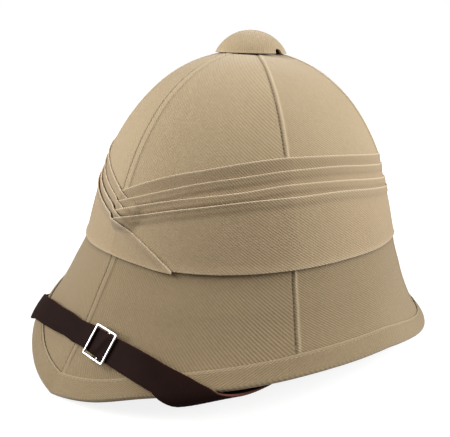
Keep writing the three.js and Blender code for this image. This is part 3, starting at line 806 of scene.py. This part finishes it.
def strapSection():
    half, thick, corner = strap["width"] / 2, strap["thickness"] / 2, strap["corner"]
    points = []
    for turn, sx, sy in quarters:
        for t in np.radians(np.linspace(turn, turn + 90, 5)):
            points.append((sx * (half - corner) + corner * math.cos(t),
                           sy * (thick - corner) + corner * math.sin(t)))
        if turn in (0, 180):
            points += [(sx * x, sy * thick) for x in np.linspace(half - corner, corner - half, 15)[1:-1]]
    return np.array(points + points[:1])


strapLine = strapSection()


def layStrap(angle, row):
    u, v = strapLine[row, 0], strapLine[row, 1]
    hump = strap["hump"] * bell(angle - strap["humpAngle"], 1.1) * (1 - smooth(np.abs(u), 5.5, 7.5))
    points = strapAt(angle, u, v + hump)
    travel = np.radians(angle) * 160
    raw = bell(np.abs(u) - strap["width"] / 2, 0.35) * (np.abs(v) < 0.75)
    return points, np.stack([travel, u], -1), 0.6 * raw


strapAngles = np.arange(-strap["end"], strap["end"] + 0.01, 1.0)
strapAngles = np.unique(np.concatenate([strapAngles, np.arange(8, 16, 0.3)]))   # finer at the buckle
chinStrap = laidGrid("chin_strap_leather", strapAngles, len(strapLine), layStrap)
finished(chinStrap, leather, "strap_leather", "chin_strap")

# Buckle frame over the strap, with two side legs down to the bar beneath
buckle = {"angle": 12, "length": 18, "width": 20.4, "wire": 1.55, "depth": 1.4, "bar": 1.2, "corner": 0.7,
          "wireCorner": 0.45}


def loopPiece(name, path, section):
    rows = len(section)

    def lay(station, row):
        return path(station, section[row]), np.zeros((len(row), 2)), np.zeros(len(row))

    return laidGrid(name, np.arange(0, len(buckleLine), 1.0), rows, lay)


def roundedBox(halfLong, halfWide, corner, perCorner=6):
    points, outs = [], []
    for turn, sx, sy in quarters:
        for t in np.radians(np.linspace(turn, turn + 90, perCorner)):
            points.append((sx * (halfLong - corner) + corner * math.cos(t),
                           sy * (halfWide - corner) + corner * math.sin(t)))
            outs.append((math.cos(t), math.sin(t)))
    return np.array(points + points[:1]), np.array(outs + outs[:1])


endAt = buckle["length"] / 2 - buckle["wire"] / 2
sideAt = buckle["width"] / 2 - buckle["wire"] / 2
buckleLine, buckleOut = roundedBox(endAt, sideAt, buckle["corner"])
wireLine, _ = roundedBox(buckle["wire"] / 2, buckle["depth"] / 2, buckle["wireCorner"], 4)
seat = [part[0] for part in strapFrame(np.array([float(buckle["angle"])]))]


def onSeat(along, across, up):
    return (seat[0] + seat[1] * np.asarray(along)[..., None] + seat[2] * np.asarray(across)[..., None]
            + seat[3] * np.asarray(up)[..., None])


def bucklePath(station, wire):
    i = station.astype(int)
    flat = buckleLine[i] + buckleOut[i] * wire[:, :1]
    lift = strap["thickness"] / 2 + shell["gap"] + buckle["depth"] / 2 + wire[:, 1]
    return onSeat(flat[:, 0], flat[:, 1], lift)


buckleFrame = loopPiece("strap_buckle", bucklePath, wireLine)


def buckleBlock(size, middle):
    nothingSelected()
    bpy.ops.mesh.primitive_cube_add(size=1)
    block = bpy.context.object
    turn = Matrix([seat[1], seat[2], seat[3]]).transposed().to_4x4()
    spot = Vector(onSeat(*[np.array(m) for m in middle]))
    tilt = Matrix.Rotation(shell["restTilt"], 4, "X")
    shift = Matrix.Translation((0, shell["centreShift"] / 1000, shell["restLift"] / 1000))
    grow = Matrix.Diagonal((*[s / 1000 for s in size], 1))
    block.data.transform(shift @ tilt @ Matrix.Translation(spot / 1000) @ turn @ grow)
    soften = block.modifiers.new("soften", "BEVEL")
    soften.width = 0.0003
    soften.segments = 3
    bpy.ops.object.modifier_apply(modifier="soften")
    return block


below = -strap["thickness"] / 2 - shell["gap"] - buckle["bar"]
above = strap["thickness"] / 2 + shell["gap"] + buckle["depth"] / 2
legSize = (buckle["length"] / 3, buckle["wire"] * 0.9, above - below)
blocks = [buckleBlock(legSize, (0, side * sideAt, (above + below) / 2)) for side in (-1, 1)]
blocks.append(buckleBlock((buckle["wire"], 2 * sideAt, buckle["bar"]), (0, 0, below + buckle["bar"] / 2)))
nothingSelected()
for block in blocks:
    block.select_set(True)
buckleFrame.select_set(True)
bpy.context.view_layer.objects.active = buckleFrame
bpy.ops.object.join()
bpy.ops.object.shade_smooth_by_angle(angle=math.radians(40))
finished(buckleFrame, steel, "buckle_steel", "buckle")

# Stitches: one small stitch, copied along each row of sewing
stitch = {"length": 1.7, "pitch": 2.7, "thick": 0.34,
          "hemLength": 2.3, "hemPitch": 3.2, "hemThick": 0.3, "hemInset": 1.9}
# Heights where the sewing starts above the wrap, and starts and stops below it
sewing = {"front": {"crown": 120.5, "brim": 77.0, "low": 16.5},
          "side": {"crown": 145.0, "brim": 76.0, "low": 36.5}}


def stitchModel():
    nothingSelected()
    bpy.ops.mesh.primitive_uv_sphere_add(segments=6, ring_count=5, radius=0.5)
    model = bpy.context.object
    points = np.array([v.co[:] for v in model.data.vertices])
    faces = [list(p.vertices) for p in model.data.polygons]
    bpy.data.objects.remove(model, do_unlink=True)
    return points[:, [2, 0, 1]], faces


stitchPoints, stitchFaces = stitchModel()


def sewnRow(name, line, outs, material, slot, pitch, length, thick):
    step = np.concatenate([[0], np.cumsum(np.linalg.norm(np.diff(line, axis=0), axis=1))])
    places = np.arange(pitch / 2, step[-1], pitch)
    at = np.stack([np.interp(places, step, line[:, i]) for i in range(3)], -1)
    ahead = np.stack([np.interp(places + 0.4, step, line[:, i]) for i in range(3)], -1)
    behind = np.stack([np.interp(places - 0.4, step, line[:, i]) for i in range(3)], -1)
    out = unit(np.stack([np.interp(places, step, outs[:, i]) for i in range(3)], -1))
    along = unit(ahead - behind)
    across = unit(np.cross(out, along))
    points = (at[:, None, :] + along[:, None, :] * stitchPoints[None, :, :1] * length
              + across[:, None, :] * stitchPoints[None, :, 1:2] * thick
              + out[:, None, :] * stitchPoints[None, :, 2:] * thick)
    count = len(stitchPoints)
    faces = [[i + n * count for i in face] for n in range(len(places)) for face in stitchFaces]
    mesh = bpy.data.meshes.new(name)
    mesh.from_pydata(standing(points.reshape(-1, 3)).tolist(), [], faces)
    row = bpy.data.objects.new(name, mesh)
    bpy.context.collection.objects.link(row)
    nothingSelected()
    row.select_set(True)
    bpy.context.view_layer.objects.active = row
    bpy.ops.object.mode_set(mode="EDIT")
    bpy.ops.mesh.select_all(action="SELECT")
    bpy.ops.mesh.normals_make_consistent(inside=False)
    bpy.ops.object.mode_set(mode="OBJECT")
    bpy.ops.object.shade_smooth()
    finished(row, material, slot)


def seamRow(name, angle, heights, lift, aside, material):
    turn = np.full(len(heights), float(angle))
    radius = np.linalg.norm(outerPoint(turn, heightLevel(turn, heights))[:, :2], axis=-1)
    turn = turn + np.degrees(aside / radius)
    level = heightLevel(turn, heights)
    line = skin(turn, level, np.full(len(heights), lift))
    sewnRow(name, line, outerFrame(turn, level)[2], material, "shell_cloth",
            stitch["pitch"], stitch["length"], stitch["thick"])


crownTop = crownHeightAt(button["radius"] + 0.5)
front, edge = sewing["front"], sewing["side"]
crownRun, brimRun = np.linspace(front["crown"], crownTop, 120), np.linspace(front["brim"], front["low"], 120)
seamRow("front_seam_stitches_crown", seams["front"], crownRun, -0.28, 0.0, seamThread)
seamRow("front_seam_stitches_brim", seams["front"], brimRun, -0.3, 0.0, seamThread)
crownRun, brimRun = np.linspace(edge["crown"], crownTop, 100), np.linspace(edge["brim"], edge["low"], 80)
for name, angle, side in (("left", seams["ridges"][0], -1), ("right", seams["ridges"][-1], 1)):
    aside = seams["grooveAside"] * side
    seamRow(f"{name}_seam_stitches_crown", angle, crownRun, -0.2, aside, seamThread)
    seamRow(f"{name}_seam_stitches_brim", angle, brimRun, -0.3, aside, seamThread)

hemTurn = np.linspace(0, 360, 721)
hemLevel = legLevel(hemTurn, np.full_like(hemTurn, binding["outerLeg"] - stitch["hemInset"]))
hemLine = skin(hemTurn, hemLevel, np.full_like(hemTurn, shell["gap"] + binding["wall"] + 0.02))
sewnRow("brim_hem_stitches", hemLine, outerFrame(hemTurn, hemLevel)[2], hemThread, "shell_cloth",
        stitch["hemPitch"], stitch["hemLength"], stitch["hemThick"])

# Hidden post and studs keep their own shapes
for node in ("button_post", "strap_stud_left", "strap_stud_right"):
    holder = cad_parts[node]
    holder.data.materials.clear()
    holder.data.materials.append(dullSteel)
print("hidden fittings finished")

# Pale floor, soft light from both sides, a warm fill and white surroundings
studio = {"floor": 6.0, "left": 31.0, "right": 35.0, "top": 4.0, "around": 0.2, "size": 1.0}


def makeFloor():
    nothingSelected()
    bpy.ops.mesh.primitive_plane_add(size=studio["floor"], location=(0, 0, -0.0002))
    floor = bpy.context.object
    floor.name = "floor"
    material, tree, shader = startMaterial("paleFloor")
    shader.inputs["Base Color"].default_value = (0.3, 0.3, 0.3, 1)
    shader.inputs["Roughness"].default_value = 0.9
    shader.inputs["Specular IOR Level"].default_value = 0.1
    shader.inputs["Emission Color"].default_value = (1, 1, 1, 1)
    place = addNode(tree, "ShaderNodeTexCoord").outputs["Object"]
    away = addNode(tree, "ShaderNodeVectorMath", {0: place}, operation="LENGTH").outputs["Value"]
    glow = addNode(tree, "ShaderNodeMapRange", {"Value": away, 1: 0.22, 2: 0.6, 3: 0.84, 4: 1.0}).outputs[0]
    seen = addNode(tree, "ShaderNodeLightPath").outputs["Is Camera Ray"]
    tree.links.new(math2(tree, "MULTIPLY", glow, seen), shader.inputs["Emission Strength"])
    floor.data.materials.append(material)


def makeLight(name, spot, power, size):
    nothingSelected()
    bpy.ops.object.light_add(type="AREA", location=spot)
    light = bpy.context.object
    light.name = name
    light.data.energy = power
    light.data.shape = "SQUARE"
    light.data.size = size
    light.rotation_euler = (Vector((0, 0, 0.1)) - Vector(spot)).to_track_quat("-Z", "Y").to_euler()


def makeStudio():
    a = math.radians(view["turn"])
    right = Vector((math.cos(a), math.sin(a), 0))
    near = Vector((math.sin(a), -math.cos(a), 0))
    makeLight("leftLight", -right * 1.3 + near * 0.25 + Vector((0, 0, 0.9)), studio["left"], studio["size"])
    makeLight("rightLight", right * 1.4 + near * 0.1 + Vector((0, 0, 0.8)), studio["right"], studio["size"])
    makeLight("topLight", Vector((0, 0.1, 1.7)), studio["top"], studio["size"])
    world = bpy.data.worlds.new("studioWorld")
    bpy.context.scene.world = world
    world.use_nodes = True
    tree = world.node_tree
    tree.nodes.clear()
    white = addNode(tree, "ShaderNodeBackground", {"Color": (1, 1, 1, 1), "Strength": 1.0})
    soft = addNode(tree, "ShaderNodeBackground", {"Color": (1, 0.88, 0.7, 1), "Strength": studio["around"]})
    seen = addNode(tree, "ShaderNodeLightPath").outputs["Is Camera Ray"]
    both = addNode(tree, "ShaderNodeMixShader", {0: seen, 1: soft.outputs[0], 2: white.outputs[0]})
    out = addNode(tree, "ShaderNodeOutputWorld")
    tree.links.new(both.outputs[0], out.inputs[0])
    bpy.context.scene.view_settings.view_transform = "Standard"


makeFloor()
makeStudio()
print("studio set")
